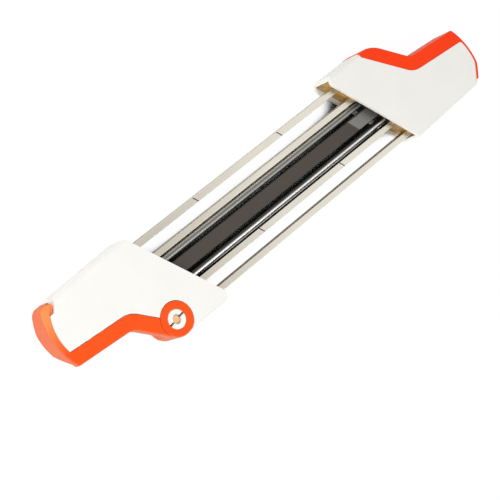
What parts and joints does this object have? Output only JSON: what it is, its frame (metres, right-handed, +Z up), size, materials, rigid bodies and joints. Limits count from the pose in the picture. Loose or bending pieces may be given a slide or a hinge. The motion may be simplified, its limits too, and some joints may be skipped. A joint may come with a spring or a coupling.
{
  "type": "saw chain file guide",
  "caption": "Hand-held guide for sharpening a saw chain: slanted handles joined by steel rails, with round and flat files between them and a latch lever that lets the files out.",
  "frame": {"origin": "on the resting plane, under the middle of the tool", "axes": "+X along the files from the near handle with the lever to the far handle, +Y across them, +Z up"},
  "size_m": [0.3238, 0.0608, 0.018],
  "materials": {
    "ivory_plastic": "satin moulded",
    "orange_plastic": "satin moulded",
    "amber_plastic": "moulded, slightly glossy",
    "rail_steel": "drawn bar",
    "file_steel": "hardened, cut teeth",
    "screw_steel": "plain",
    "pin_brass": "turned"
  },
  "bodies": {
    "holder": {"near_lower_shell": "ivory_plastic", "near_upper_shell": "ivory_plastic", "near_handle_screws": "screw_steel", "near_rail_block": "amber_plastic", "near_rail_pins": "screw_steel", "file_guide_plate": "amber_plastic", "lever_hub_pin": "pin_brass", "far_lower_shell": "ivory_plastic", "far_upper_shell": "ivory_plastic", "far_handle_screws": "screw_steel", "far_grip_inlay": "orange_plastic", "far_rail_block": "amber_plastic", "far_rail_pins": "screw_steel", "file_socket_block": "amber_plastic", "outer_left_rail": "rail_steel", "inner_left_rail": "rail_steel", "inner_right_rail": "rail_steel", "outer_right_rail": "rail_steel"},
    "latch": {"latch_lever": "orange_plastic"},
    "flat_file": {"flat_file": "file_steel"},
    "left_file": {"round_file_left": "file_steel"},
    "right_file": {"round_file_right": "file_steel"}
  },
  "joints": [
    {"name": "latch_hinge", "type": "hinge", "parent": "holder", "child": "latch", "pos_m": [-0.098, -0.0208, 0.009], "axis": [0, 0, 1], "range_deg": [0, 92]},
    {"name": "flat_file_slide", "type": "slide", "parent": "holder", "child": "flat_file", "axis": [-1, 0, 0], "range_m": [0, 0.031]},
    {"name": "left_file_slide", "type": "slide", "parent": "holder", "child": "left_file", "axis": [-1, 0, 0], "range_m": [0, 0.0615]},
    {"name": "right_file_slide", "type": "slide", "parent": "holder", "child": "right_file", "axis": [-1, 0, 0], "range_m": [0, 0.0261]}
  ],
  "couplings": [
    {"joint": "flat_file_slide", "follows": "latch_hinge", "m_per_rad": 0.019},
    {"joint": "left_file_slide", "follows": "latch_hinge", "m_per_rad": 0.038},
    {"joint": "right_file_slide", "follows": "latch_hinge", "m_per_rad": 0.016}
  ]
}
